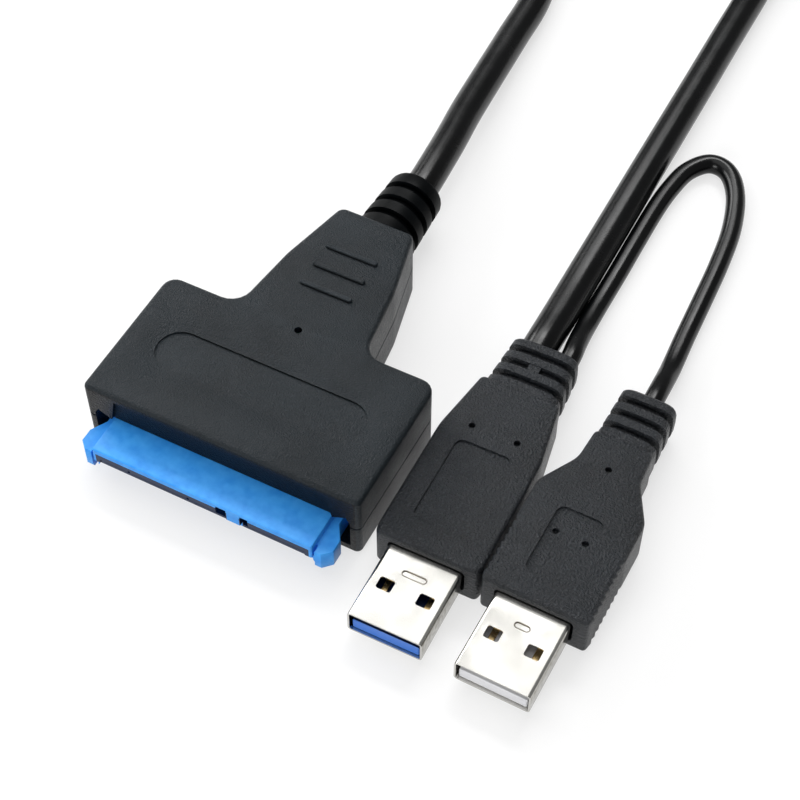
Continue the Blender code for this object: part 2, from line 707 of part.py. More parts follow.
def make_shell(name, slot_length, slot_width):
    outer = shell_outline(SHELL_WIDTH, SHELL_HEIGHT, SHELL_CORNER)
    bore = shell_outline(
        SHELL_WIDTH - 2 * SHELL_WALL,
        SHELL_HEIGHT - 2 * SHELL_WALL,
        SHELL_CORNER - SHELL_WALL,
    )
    shell = stack(name, [(-SHELL_SHOWN, outer), (SHELL_INSIDE, outer)], NICKEL, "back")
    cut(shell, stack(f"{name}_bore", [(-SHELL_SHOWN - 1 * MM, bore), (SHELL_INSIDE + 1 * MM, bore)], NICKEL, "back"))
    low = PLUG_AXIS - SHELL_HEIGHT
    high = PLUG_AXIS + SHELL_HEIGHT
    y0 = -SHELL_SHOWN + WINDOW_FROM_TIP
    for side in (-1, 1):
        x0 = WINDOW_FROM_AXIS if side > 0 else -WINDOW_FROM_AXIS - WINDOW_WIDTH
        window = box_outline(x0, x0 + WINDOW_WIDTH, y0, y0 + WINDOW_LENGTH, 0.35 * MM, 3)
        hand = "right" if side > 0 else "left"
        cut(shell, stack(f"{name}_window_{hand}", [(low, window), (high, window)], NICKEL))
    y = -SHELL_SHOWN + PRESS_MARK_FROM_TIP
    slot = box_outline(
        -slot_length / 2,
        slot_length / 2,
        y - slot_width / 2,
        y + slot_width / 2,
        slot_width * 0.49,
    )
    floor = PLUG_AXIS + SHELL_HEIGHT / 2 - PRESS_DEPTH
    cut(shell, stack(f"{name}_press_mark", [(floor, slot), (high, slot)], NICKEL))
    return shell


def make_insulator(name, finish):
    """The tongue in the lower half of the shell, and the block that carries it."""
    half = SHELL_WIDTH / 2 - SHELL_WALL - GAP
    floor = PLUG_AXIS - SHELL_HEIGHT / 2 + SHELL_WALL + SEAT
    tongue = box_outline(-half, half, floor, floor + TONGUE_THICKNESS, 0.2 * MM, 2)
    front = -SHELL_SHOWN + TONGUE_SETBACK
    levels = [(front, inset(tongue, 0.15 * MM)), (front + 0.15 * MM, tongue), (SHELL_INSIDE - GAP, tongue)]
    insulator = stack(name, levels, finish, "back")
    ceiling = PLUG_AXIS + SHELL_HEIGHT / 2 - SHELL_WALL - SEAT
    root = box_outline(-half, half, floor, ceiling, 0.2 * MM, 2)
    levels = [(SHELL_INSIDE - GAP - TONGUE_ROOT, root), (SHELL_INSIDE - GAP, root)]
    fuse(insulator, stack(f"{name}_root", levels, finish, "back"))
    return insulator


def make_plug_contacts(prefix, centres, width, length, from_tip, parent):
    floor = PLUG_AXIS - SHELL_HEIGHT / 2 + SHELL_WALL + SEAT + TONGUE_THICKNESS + SEAT
    y0 = -SHELL_SHOWN + TONGUE_SETBACK + from_tip
    for i, x in enumerate(centres):
        outline = box_outline(x - width / 2, x + width / 2, y0, y0 + length, 0.1 * MM, 2)
        levels = [
            (floor, outline),
            (floor + CONTACT_THICKNESS * 0.6, outline),
            (floor + CONTACT_THICKNESS, inset(outline, 0.08 * MM)),
        ]
        contact = stack(f"{prefix}_{i + 1}", levels, GOLD)
        contact.parent = parent


def relief_levels(start, length, widths, heights, grooves, groove_width, pitch, depth, end_ring):
    """Sections of an oval, ringed strain relief, from its root to its end."""

    def size(y, drop):
        t = (y - start) / length
        width = widths[0] + (widths[1] - widths[0]) * t
        height = heights[0] + (heights[1] - heights[0]) * t
        return (y, oval(width - 2 * drop, height - 2 * drop, 24, RELIEF_FULLNESS))

    ramp = 0.12 * MM
    sections = [size(start, 0.0)]
    first = start + length - end_ring - (grooves - 1) * pitch - groove_width
    for i in range(grooves):
        low = first + i * pitch
        high = low + groove_width
        sections += [size(low, 0.0), size(low + ramp, depth), size(high - ramp, depth), size(high, 0.0)]
    sections += [
        size(start + length - 0.5 * MM, 0.0),
        size(start + length - 0.12 * MM, 0.25 * MM),
        size(start + length, 0.55 * MM),
    ]
    return [(y, [p + Vector((0, PLUG_AXIS)) for p in outline]) for y, outline in sections]


def finish_grip(grip, panel, marks, shell_pocket):
    """The pocket for the shell, the sunk panel on top and the small mould pin marks."""
    pocket = shell_outline(SHELL_WIDTH + 2 * GAP, SHELL_HEIGHT + 2 * GAP, SHELL_CORNER + GAP)
    cut(grip, stack(shell_pocket, [(-1 * MM, pocket), (SHELL_INSIDE + GAP, pocket)], BLACK, "back"))
    x, y0, y1 = panel
    outline = box_outline(-x, x, y0, y1, 1.4 * MM, 5)
    cut(grip, stack(f"{grip.name}_panel", [(GRIP_HEIGHT - PANEL_DEPTH, outline), (GRIP_HEIGHT + 1 * MM, outline)], BLACK))
    for i, (mx, my) in enumerate(marks):
        hole = circle(mx, my, PIN_MARK_DIAMETER, 14)
        levels = [(GRIP_HEIGHT - PIN_MARK_DEPTH, hole), (GRIP_HEIGHT + 1 * MM, hole)]
        cut(grip, stack(f"{grip.name}_pin_mark_{i + 1}", levels, BLACK))


USB3_FRONT_WIDTH = 16.6 * MM
USB3_BODY_WIDTH = 17.2 * MM
USB3_TAPER_START = 22.0 * MM
USB3_BODY_LENGTH = 33.4 * MM
USB3_NECK_WIDTH = 13.4 * MM
USB3_RELIEF_LENGTH = 10.1 * MM
USB3_RELIEF_WIDTHS = (12.9 * MM, 11.4 * MM)
USB3_RELIEF_HEIGHTS = (8.0 * MM, 7.4 * MM)
USB3_BRIDGE_WIDTH = 2.0 * MM
USB3_PANEL = (4.7 * MM, 4.4 * MM, 20.6 * MM)  # half its width, its front and its back
USB3_MARKS = ((-3.8 * MM, 23.6 * MM), (3.8 * MM, 23.6 * MM))

USB2_FRONT_WIDTH = 17.0 * MM
USB2_BODY_WIDTH = 17.6 * MM
USB2_SHOULDER = 19.5 * MM
USB2_WAIST = 26.0 * MM
USB2_NECK_WIDTH = 10.4 * MM
USB2_BODY_LENGTH = 32.1 * MM
USB2_RELIEF_LENGTH = 10.1 * MM
USB2_RELIEF_WIDTHS = (9.8 * MM, 9.4 * MM)
USB2_RELIEF_HEIGHTS = (7.9 * MM, 7.2 * MM)
USB2_PANEL = (3.8 * MM, 4.0 * MM, 16.8 * MM)
USB2_MARKS = ((0.0, 25.8 * MM), (-2.4 * MM, 12.3 * MM), (2.4 * MM, 12.3 * MM))
RIB_COUNT = 8
RIB_PITCH = 1.35 * MM
RIB_DEPTH = 0.32 * MM
FIRST_RIB = 1.6 * MM

RELIEF_GROOVE_WIDTH = 1.35 * MM
RELIEF_GROOVE_PITCH = 2.8 * MM
RELIEF_GROOVE_DEPTH = 1.1 * MM
RELIEF_END_RING = 1.8 * MM
RELIEF_FULLNESS = 4.5


def make_usb3_plug(place):
    corners = [
        (USB3_FRONT_WIDTH / 2, 0.0, 0.9 * MM),
        (USB3_BODY_WIDTH / 2, 1.6 * MM, 3 * MM),
        (USB3_BODY_WIDTH / 2, USB3_TAPER_START, 12 * MM),
        (USB3_NECK_WIDTH / 2, USB3_BODY_LENGTH, 0.95 * MM),
    ]
    outline = rounded(mirrored(corners), 4)
    grip = stack("usb3_grip", soft_levels(outline, 0.0, GRIP_HEIGHT, GRIP_EDGE_RADIUS, 3), BLACK)
    relief = relief_levels(
        USB3_BODY_LENGTH - 2 * MM,
        USB3_RELIEF_LENGTH + 2 * MM,
        USB3_RELIEF_WIDTHS,
        USB3_RELIEF_HEIGHTS,
        3,
        RELIEF_GROOVE_WIDTH,
        RELIEF_GROOVE_PITCH,
        RELIEF_GROOVE_DEPTH,
        RELIEF_END_RING,
    )
    fuse(grip, stack("usb3_relief", relief, BLACK, "back"))
    middle = USB3_BODY_LENGTH + USB3_RELIEF_LENGTH - RELIEF_END_RING - RELIEF_GROOVE_PITCH - RELIEF_GROOVE_WIDTH / 2
    reach = RELIEF_GROOVE_WIDTH / 2 + 0.3 * MM
    bridge = box_outline(-USB3_BRIDGE_WIDTH / 2, USB3_BRIDGE_WIDTH / 2, middle - reach, middle + reach)
    low = PLUG_AXIS - USB3_RELIEF_HEIGHTS[1] / 2 + 0.1 * MM
    high = PLUG_AXIS + USB3_RELIEF_HEIGHTS[1] / 2 - 0.02 * MM
    fuse(grip, stack("usb3_bridge", [(low, bridge), (high, bridge)], BLACK))
    finish_grip(grip, USB3_PANEL, USB3_MARKS, "usb3_shell_pocket")
    shell = make_shell("usb3_shell", 3.9 * MM, 1.0 * MM)
    insulator = make_insulator("usb3_insulator", BLUE)
    make_plug_contacts("usb3_contact", CONTACT_CENTRES, CONTACT_WIDTH, CONTACT_LENGTH, 2.6 * MM, place)
    make_plug_contacts("usb3_finger", FINGER_CENTRES, FINGER_WIDTH, FINGER_LENGTH, 0.4 * MM, place)
    for piece in (grip, shell, insulator):
        piece.parent = place


def make_usb2_plug(place):
    half = USB2_BODY_WIDTH / 2
    ribs = []
    for i in range(RIB_COUNT):
        y = FIRST_RIB + i * RIB_PITCH
        ribs += [(half, y, 0.0), (half - RIB_DEPTH, y + RIB_PITCH * 0.3, 0.0)]
    ribs.append((half, FIRST_RIB + RIB_COUNT * RIB_PITCH, 0.0))
    corners = [(USB2_FRONT_WIDTH / 2, 0.0, 0.7 * MM)] + ribs
    corners += [
        (half, USB2_SHOULDER, 4.0 * MM),
        (USB2_NECK_WIDTH / 2, USB2_WAIST, 5.0 * MM),
        (USB2_NECK_WIDTH / 2 - 0.3 * MM, USB2_BODY_LENGTH, 0.95 * MM),
    ]
    outline = rounded(mirrored(corners), 4)
    grip = stack("usb2_grip", soft_levels(outline, 0.0, GRIP_HEIGHT, GRIP_EDGE_RADIUS, 3), BLACK)
    relief = relief_levels(
        USB2_BODY_LENGTH - 2 * MM,
        USB2_RELIEF_LENGTH + 2 * MM,
        USB2_RELIEF_WIDTHS,
        USB2_RELIEF_HEIGHTS,
        3,
        RELIEF_GROOVE_WIDTH,
        RELIEF_GROOVE_PITCH,
        RELIEF_GROOVE_DEPTH,
        RELIEF_END_RING,
    )
    fuse(grip, stack("usb2_relief", relief, BLACK, "back"))
    finish_grip(grip, USB2_PANEL, USB2_MARKS, "usb2_shell_pocket")
    shell = make_shell("usb2_shell", 2.4 * MM, 1.0 * MM)
    insulator = make_insulator("usb2_insulator", WHITE)
    make_plug_contacts("usb2_contact", CONTACT_CENTRES, CONTACT_WIDTH, CONTACT_LENGTH, 1.6 * MM, place)
    for piece in (grip, shell, insulator):
        piece.parent = place


# Cords


def smooth_route(route, spacing):
    """Points along a smooth curve through the route's own points, at even spacing."""
    knots = [Vector(p) * MM for p in route]
    ends = [2 * knots[0] - knots[1]] + knots + [2 * knots[-1] - knots[-2]]
    fine = []
    for a, b, c, d in zip(ends, ends[1:], ends[2:], ends[3:]):
        for i in range(16):
            t = i / 16
            fine.append(
                0.5 * (2 * b + (c - a) * t + (2 * a - 5 * b + 4 * c - d) * t**2 + (3 * b - a - 3 * c + d) * t**3)
            )
    fine.append(knots[-1])
    total = sum((q - p).length for p, q in zip(fine, fine[1:]))
    count = max(2, round(total / spacing))
    points = [fine[0]]
    walked = 0.0
    for p, q in zip(fine, fine[1:]):
        step = (q - p).length
        while len(points) < count and walked + step >= total * len(points) / count:
            share = (total * len(points) / count - walked) / step
            points.append(p.lerp(q, share))
        walked += step
    points.append(fine[-1])
    leave = (knots[1] - knots[0]).normalized() * STRAIGHT_END
    arrive = (knots[-1] - knots[-2]).normalized() * STRAIGHT_END
    return [points[0], points[0] + leave] + points[1:-1] + [points[-1] - arrive, points[-1]]


def make_cord(name, route, diameter, spacing, resolution, finish):
    curve = bpy.data.curves.new(name, "CURVE")
    curve.dimensions = "3D"
    curve.bevel_depth = diameter / 2
    curve.bevel_resolution = resolution
    curve.use_fill_caps = True
    points = smooth_route(route, spacing)
    spline = curve.splines.new("POLY")
    spline.points.add(len(points) - 1)
    for slot, point in zip(spline.points, points):
        slot.co = (*point, 1.0)
    curve.materials.append(finish)
    obj = bpy.data.objects.new(name, curve)
    bpy.context.scene.collection.objects.link(obj)
    return obj


def make_coil():
    """The outer shape of the put-away turns, and the strap that ties them."""
    lift = TIE_THICKNESS + GAP
    height = COIL_LAYERS * MAIN_DIAMETER
    radius = COIL_DIAMETER / 2
    half = MAIN_DIAMETER / 2
    section = box_outline(radius - half, radius + half, lift, lift + height, half * 0.9, 3)
    coil = ring("main_cord_coil", section, CORD)
    coil.location = (*COIL_CENTRE, 0)
    middle = COIL_CENTRE[1]
    near = math.sqrt((radius - half) ** 2 - (TIE_WIDTH / 2) ** 2)  # the ring bends away inside the strap
    inner = (middle + near - GAP, middle + radius + half + GAP, TIE_THICKNESS, lift + height + GAP)
    outer = (inner[0] - TIE_THICKNESS, inner[1] + TIE_THICKNESS, 0.0, inner[3] + TIE_THICKNESS)
    x0 = COIL_CENTRE[0] - TIE_WIDTH / 2
    x1 = COIL_CENTRE[0] + TIE_WIDTH / 2
    tie = stack("cord_tie", [(x0, box_outline(*outer, 1.5 * MM)), (x1, box_outline(*outer, 1.5 * MM))], CORD, "side")
    hole = box_outline(*inner, 1.0 * MM)
    cut(tie, stack("tie_hole", [(x0 - 1 * MM, hole), (x1 + 1 * MM, hole)], CORD, "side"))
    return [coil, tie]


def place_at(name, x, y, turn):
    """An empty that carries a sub-assembly, measured from the housing's front face."""
    place = bpy.data.objects.new(name, None)
    bpy.context.scene.collection.objects.link(place)
    place.location = (x, HEAD_FRONT + y, 0)
    place.rotation_euler = (0, 0, turn)
    return place


for old in list(bpy.data.objects):
    bpy.data.objects.remove(old, do_unlink=True)

BLACK = finish_of("black_housing", (0.045, 0.048, 0.052), 0.55)
RUBBER = finish_of("black_sleeve", (0.03, 0.032, 0.034), 0.45)
CORD = finish_of("black_cord", (0.02, 0.021, 0.023), 0.35)
BLUE = finish_of("blue_connector", (0.04, 0.24, 0.75), 0.45)
WHITE = finish_of("white_insulator", (0.85, 0.85, 0.83), 0.4)
NICKEL = finish_of("nickel_shell", (0.85, 0.84, 0.8), 0.2, 1.0)
GOLD = finish_of("gold_contacts", (0.85, 0.6, 0.25), 0.25, 1.0)
GREEN = finish_of("circuit_board_green", (0.02, 0.16, 0.06), 0.4)
CHIP = finish_of("chip_black", (0.02, 0.02, 0.02), 0.5)
STEEL = finish_of("can_steel", (0.6, 0.6, 0.58), 0.3, 1.0)
TAN = finish_of("capacitor_tan", (0.45, 0.32, 0.2), 0.5)
LENS = finish_of("lamp_lens", (0.1, 0.3, 0.8), 0.2)

head = place_at("head", 0.0, 0.0, 0.0)
loose = place_at("cords", 0.0, 0.0, 0.0)
usb3 = place_at("usb3_plug", *USB3_PLACE)
usb2 = place_at("usb2_plug", *USB2_PLACE)

make_upper_cover()
make_lower_cover()
make_receptacle()
make_board()
make_sleeve()
for piece in list(bpy.data.objects):
    if piece.type != "EMPTY" and piece.parent is None:
        piece.parent = head

make_usb3_plug(usb3)
make_usb2_plug(usb2)
make_coil()
make_cord("main_cord_head_run", HEAD_CORD_ROUTE, MAIN_DIAMETER, 2.2 * MAIN_DIAMETER, 2, CORD)
make_cord("main_cord_plug_run", PLUG_CORD_ROUTE, MAIN_DIAMETER, 2.2 * MAIN_DIAMETER, 2, CORD)
make_cord("power_lead", LEAD_ROUTE, LEAD_DIAMETER, 1.2 * LEAD_DIAMETER, 2, CORD)
for piece in list(bpy.data.objects):
    if piece.type != "EMPTY" and piece.parent is None:
        piece.parent = loose
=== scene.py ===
"""Drive adapter with a blue receptacle, a main cord to a USB 3 plug and a thin power lead
to a USB 2 plug: the cords, the fine pieces, the finishes and the light."""

import json
import math

import bpy
from mathutils import Matrix, Vector


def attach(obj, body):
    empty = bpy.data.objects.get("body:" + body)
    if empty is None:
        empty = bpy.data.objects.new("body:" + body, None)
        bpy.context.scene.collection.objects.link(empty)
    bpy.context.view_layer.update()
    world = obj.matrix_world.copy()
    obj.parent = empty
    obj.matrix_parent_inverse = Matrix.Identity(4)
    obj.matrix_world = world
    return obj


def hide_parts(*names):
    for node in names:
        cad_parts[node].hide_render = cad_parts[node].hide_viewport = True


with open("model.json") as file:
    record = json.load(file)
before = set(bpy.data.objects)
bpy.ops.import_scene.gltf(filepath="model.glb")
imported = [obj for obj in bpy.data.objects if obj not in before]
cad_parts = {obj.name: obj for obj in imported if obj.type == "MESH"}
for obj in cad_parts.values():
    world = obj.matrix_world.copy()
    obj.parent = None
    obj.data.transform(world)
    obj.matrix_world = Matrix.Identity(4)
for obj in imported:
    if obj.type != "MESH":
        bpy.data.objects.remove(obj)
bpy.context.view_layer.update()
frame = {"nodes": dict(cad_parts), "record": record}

MM = 0.001
HOUSING_FRONT = -29.6  # y of the housing's front face; the routes are measured from it

# Camera, in millimetres from the middle of the housing's front face
CAMERA_PLACE = (95.7, -124.2, 227.9)
CAMERA_AIM = (-0.2798, 0.5352, -0.7970)
CAMERA_UP = (-0.3693, 0.7063, 0.6039)
CAMERA_LENS = 80.09

# Cords
MAIN_DIAMETER = 5.9 * MM
LEAD_DIAMETER = 3.4 * MM
COIL_CENTRE = (3.0, 182.0)
COIL_RADIUS = 29.0
COIL_TURNS = 1.5
COIL_STEPS = 48
COIL_HEIGHT = 2.97  # of the middle of the lower turn
COIL_CLIMB = 5.95  # from there to the middle of the upper one
CLIMB_FROM = 235  # degrees round, where the upper turn starts to climb
CLIMB_OVER = 100
TIE_LIFT = 0.55

# Plugs: x and y of the grip's front face in millimetres, and its turn
PLUG_PLACES = {"usb3": (34.7, 0.6, math.radians(0.7)), "usb2": (52.2, 0.4, math.radians(-0.6))}
SHELL_TOP = 6.33  # height of both shells' tops

# The pressed mark on each shell's top, in millimetres
PRESS_MARK = 3.7  # how far it lies in front of the grip
PRESS_LENGTHS = {"usb3": 3.9, "usb2": 2.4}
PRESS_WIDTH = 1.0
PRESS_RIM = 0.09

HEAD_RUN = (
    (0.0, 65.25, 6.5),
    (0.0, 68.0, 6.5),
    (-0.4, 73.5, 6.25),
    (-1.1, 80.5, 5.7),
    (-2.1, 88.6, 5.0),
    (-3.0, 99.2, 4.2),
    (-3.95, 111.7, 3.4),
    (-4.8, 124.0, 2.97),
    (-7.4, 133.5, 2.97),
    (-12.6, 142.5, 2.97),
    (-18.6, 150.6, 2.97),
    (-23.2, 160.0, 2.97),
    (-25.6, 170.5, 2.97),
)
PLUG_RUN = (
    (31.95, 175.0, 8.95),
    (31.85, 168.0, 8.6),
    (31.6, 161.8, 7.0),
    (31.5, 156.0, 5.2),
    (31.5, 150.0, 3.6),
    (31.5, 143.0, 2.97),
    (31.5, 131.0, 2.97),
    (31.6, 118.0, 2.97),
    (31.65, 104.0, 2.97),
    (31.7, 90.0, 2.97),
    (31.8, 76.0, 2.97),
    (31.9, 62.0, 3.05),
    (32.1, 53.0, 3.6),
    (32.23, 47.2, 4.1),
    (32.28, 44.15, 4.1),
)
LEAD_RUN = (
    (37.57, 44.2, 4.1),
    (37.45, 47.0, 4.05),
    (37.05, 49.8, 3.5),
    (36.55, 54.5, 2.3),
    (36.35, 61.0, 1.72),
    (36.38, 68.0, 1.72),
    (36.32, 77.0, 1.72),
    (36.35, 85.0, 1.72),
    (36.75, 90.8, 1.72),
    (37.85, 96.1, 1.72),
    (40.7, 99.7, 1.72),
    (44.4, 99.0, 1.72),
    (47.6, 94.2, 1.72),
    (49.8, 86.5, 1.72),
    (50.8, 78.0, 1.72),
    (51.3, 69.0, 1.72),
    (51.7, 60.5, 1.72),
    (52.2, 53.4, 2.1),
    (52.5, 48.6, 3.4),
    (52.62, 45.4, 4.05),
    (52.65, 42.65, 4.1),
)


# Camera


def in_model(point):
    """A point in millimetres from the housing's front face, in metres in the model."""
    return Vector((point[0], point[1] + HOUSING_FRONT, point[2])) * MM


def set_camera():
    data = bpy.data.cameras.new("camera")
    data.sensor_width = 36.0
    data.lens = CAMERA_LENS
    data.clip_start = 0.01
    data.clip_end = 20.0
    camera = bpy.data.objects.new("camera", data)
    bpy.context.scene.collection.objects.link(camera)
    forward = Vector(CAMERA_AIM).normalized()
    right = forward.cross(Vector(CAMERA_UP)).normalized()
    up = right.cross(forward)
    turn = Matrix((right, up, -forward)).transposed().to_4x4()
    camera.matrix_world = Matrix.Translation(in_model(CAMERA_PLACE)) @ turn
    bpy.context.scene.camera = camera


# Cords


def smooth_run(route, steps):
    """Points on a smooth curve through the route's own points."""
    knots = [Vector(p) for p in route]
    ends = [2 * knots[0] - knots[1]] + knots + [2 * knots[-1] - knots[-2]]
    fine = []
    for a, b, c, d in zip(ends, ends[1:], ends[2:], ends[3:]):
        for i in range(steps):
            t = i / steps
            second = (2 * a - 5 * b + 4 * c - d) * t**2
            third = (3 * b - a - 3 * c + d) * t**3
            fine.append(0.5 * (2 * b + (c - a) * t + second + third))
    fine.append(knots[-1])
    return fine


def coil_turns():
    """The put-away turns: once round on the floor, then half a turn on top of the first."""
    points = []
    for i in range(COIL_STEPS + 1):
        turned = 360 * COIL_TURNS * i / COIL_STEPS
        a = math.radians(180 - turned)
        climb = min(1.0, max(0.0, (turned - CLIMB_FROM) / CLIMB_OVER))
        climb = climb * climb * (3 - 2 * climb)
        tie = max(0.0, math.sin(a)) ** 4 * TIE_LIFT
        points.append(
            (
                COIL_CENTRE[0] + COIL_RADIUS * math.cos(a),
                COIL_CENTRE[1] + COIL_RADIUS * math.sin(a),
                COIL_HEIGHT + COIL_CLIMB * climb + tie,
            )
        )
    return points


def make_cord(name, points, diameter, finish):
    curve = bpy.data.curves.new(name, "CURVE")
    curve.dimensions = "3D"
    curve.bevel_depth = diameter / 2
    curve.bevel_resolution = 6
    curve.use_fill_caps = True
    spline = curve.splines.new("POLY")
    spline.points.add(len(points) - 1)
    for knot, point in zip(spline.points, points):
        knot.co = (*in_model(point), 1.0)
    spline.use_smooth = True
    curve.materials.append(finish)
    cord = bpy.data.objects.new(name, curve)
    bpy.context.scene.collection.objects.link(cord)
    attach(cord, "root")
    return cord


def make_cords(finish):
    route = smooth_run(HEAD_RUN + tuple(coil_turns()) + PLUG_RUN, 6)
    main = make_cord("main_cord", route, MAIN_DIAMETER, finish)
    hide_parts("main_cord_head_run", "main_cord_plug_run", "main_cord_coil")
    lead = make_cord("power_lead_cord", smooth_run(LEAD_RUN, 8), LEAD_DIAMETER, finish)
    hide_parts("power_lead")


# Shader groups


def new_group(name, inputs, outputs):
    group = bpy.data.node_groups.new(name, "ShaderNodeTree")
    for label, kind, value in inputs:
        socket = group.interface.new_socket(name=label, in_out="INPUT", socket_type=kind)
        socket.default_value = value
    for label, kind in outputs:
        group.interface.new_socket(name=label, in_out="OUTPUT", socket_type=kind)
    start = group.nodes.new("NodeGroupInput")
    end = group.nodes.new("NodeGroupOutput")
    return group, start, end


def node(tree, kind, **values):
    made = tree.nodes.new(kind)
    for key, value in values.items():
        setattr(made, key, value)
    return made


def maths(tree, operation, *values, clamp=False):
    """A sum on plain values and other nodes' outputs."""
    made = node(tree, "ShaderNodeMath", operation=operation, use_clamp=clamp)
    for socket, value in zip(made.inputs, values):
        if isinstance(value, float):
            socket.default_value = value
        else:
            tree.links.new(value, socket)
    return made.outputs["Value"]


def colour_mix(tree, factor, a, b):
    """One colour going over to another, each a plain value or another node's output."""
    mix = node(tree, "ShaderNodeMix", data_type="RGBA")
    tree.links.new(factor, mix.inputs["Factor"])
    for key, colour in (("A", a), ("B", b)):
        if isinstance(colour, tuple):
            mix.inputs[key].default_value = (*colour, 1.0)
        else:
            tree.links.new(colour, mix.inputs[key])
    return mix.outputs["Result"]


def split_vector(tree, vector):
    parts = node(tree, "ShaderNodeSeparateXYZ")
    tree.links.new(vector, parts.inputs["Vector"])
    return parts.outputs


def map_range(tree, value, **limits):
    """A value spread from one range to another, as in From_Min=0.3."""
    spread = node(tree, "ShaderNodeMapRange")
    for key, limit in limits.items():
        socket = spread.inputs[key.replace("_", " ")]
        if isinstance(limit, float):
            socket.default_value = limit
        else:
            tree.links.new(limit, socket)
    tree.links.new(value, spread.inputs["Value"])
    return spread.outputs["Result"]


def noise_value(tree, vector, scale, **details):
    noise = node(tree, "ShaderNodeTexNoise")
    for key, value in details.items():
        noise.inputs[key].default_value = value
    tree.links.new(vector, noise.inputs["Vector"])
    if isinstance(scale, float):
        noise.inputs["Scale"].default_value = scale
    else:
        tree.links.new(scale, noise.inputs["Scale"])
    return noise.outputs["Fac"]


def moulded_grain():
    """Fine spark-eroded texture of moulded plastic: a height, and a mask of its high spots."""
    group, start, end = new_group(
        "moulded_grain",
        [("Grain per Metre", "NodeSocketFloat", 2500.0), ("Unevenness", "NodeSocketFloat", 0.5)],
        [("Height", "NodeSocketFloat"), ("High Spots", "NodeSocketFloat")],
    )
    links = group.links
    place = node(group, "ShaderNodeTexCoord").outputs["Object"]
    noise = noise_value(group, place, start.outputs["Grain per Metre"], Detail=3.0, Roughness=0.6)
    cells = node(group, "ShaderNodeTexVoronoi", feature="SMOOTH_F1")
    links.new(place, cells.inputs["Vector"])
    links.new(start.outputs["Grain per Metre"], cells.inputs["Scale"])
    blend = node(group, "ShaderNodeMix", data_type="FLOAT")
    links.new(start.outputs["Unevenness"], blend.inputs["Factor"])
    links.new(cells.outputs["Distance"], blend.inputs["A"])
    links.new(noise, blend.inputs["B"])
    links.new(blend.outputs["Result"], end.inputs["Height"])
    spots = map_range(group, noise, From_Min=0.52, From_Max=0.72)
    links.new(spots, end.inputs["High Spots"])
    return group


def slow_drift():
    """Slow change over a surface, for tone and gloss."""
    group, start, end = new_group(
        "slow_drift",
        [
            ("Patches per Metre", "NodeSocketFloat", 60.0),
            ("Low", "NodeSocketFloat", 0.4),
            ("High", "NodeSocketFloat", 0.6),
        ],
        [("Value", "NodeSocketFloat")],
    )
    place = node(group, "ShaderNodeTexCoord").outputs["Object"]
    noise = noise_value(group, place, start.outputs["Patches per Metre"], Detail=4.0)
    value = map_range(
        group,
        noise,
        From_Min=0.3,
        From_Max=0.7,
        To_Min=start.outputs["Low"],
        To_Max=start.outputs["High"],
    )
    group.links.new(value, end.inputs["Value"])
    return group


def edge_highlight():
    """A mask of the outer edges, for a painted highlight along them."""
    group, start, end = new_group(
        "edge_highlight",
        [("Sharpness", "NodeSocketFloat", 0.5)],
        [("Mask", "NodeSocketFloat")],
    )
    shape = node(group, "ShaderNodeNewGeometry")
    place = node(group, "ShaderNodeTexCoord").outputs["Object"]
    edge = map_range(group, shape.outputs["Pointiness"], From_Min=0.52, From_Max=0.62)
    lightened = maths(group, "MULTIPLY", edge, noise_value(group, place, 700.0))
    mask = maths(group, "MULTIPLY", lightened, start.outputs["Sharpness"])
    group.links.new(mask, end.inputs["Mask"])
    return group


def shaded_walls():
    """A mask of a folded shell's upright walls, for painted shade, broken up into streaks."""
    group, start, end = new_group(
        "shaded_walls",
        [("Streaks per Metre", "NodeSocketFloat", 1400.0)],
        [("Mask", "NodeSocketFloat")],
    )
    place = node(group, "ShaderNodeTexCoord")
    upright = maths(group, "ABSOLUTE", split_vector(group, place.outputs["Normal"])["Z"])
    wall = map_range(group, upright, From_Min=0.75, From_Max=0.2)
    noise = noise_value(group, place.outputs["Object"], start.outputs["Streaks per Metre"])
    streaks = map_range(group, noise, From_Min=0.35, From_Max=0.65, To_Min=0.45, To_Max=1.0)
    group.links.new(maths(group, "MULTIPLY", wall, streaks), end.inputs["Mask"])
    return group


def slot_shade():
    """A mask for painted shade on the receptacle's slots, the wall under them and the lower part of the
    lip over them, but not on the rib between.
    """
    group, start, end = new_group(
        "slot_shade",
        [
            ("Height", "NodeSocketFloat", 0.00605),
            ("Half Width", "NodeSocketFloat", 0.0187),
            ("Rib Middle", "NodeSocketFloat", 0.0057),
            ("Rib Half Width", "NodeSocketFloat", 0.0011),
        ],
        [("Mask", "NodeSocketFloat")],
    )
    shape = node(group, "ShaderNodeNewGeometry")
    spot = split_vector(group, shape.outputs["Position"])
    facing = split_vector(group, shape.outputs["True Normal"])
    side = maths(group, "ABSOLUTE", spot["X"])
    low = maths(group, "LESS_THAN", spot["Z"], start.outputs["Height"])
    inside = maths(group, "LESS_THAN", side, start.outputs["Half Width"])
    not_under = maths(group, "GREATER_THAN", facing["Z"], -0.5)
    slots = maths(group, "MULTIPLY", maths(group, "MULTIPLY", low, inside), not_under)
    rib = maths(group, "COMPARE", spot["X"], start.outputs["Rib Middle"], start.outputs["Rib Half Width"])
    group.links.new(maths(group, "SUBTRACT", slots, rib, clamp=True), end.inputs["Mask"])
    return group


def front_faces():
    """A mask of the faces that look towards the receptacle's end."""
    group, start, end = new_group(
        "front_faces", [("Steepness", "NodeSocketFloat", -0.9)], [("Mask", "NodeSocketFloat")]
    )
    shape = node(group, "ShaderNodeNewGeometry")
    facing = split_vector(group, shape.outputs["True Normal"])
    mask = maths(group, "LESS_THAN", facing["Y"], start.outputs["Steepness"])
    group.links.new(mask, end.inputs["Mask"])
    return group


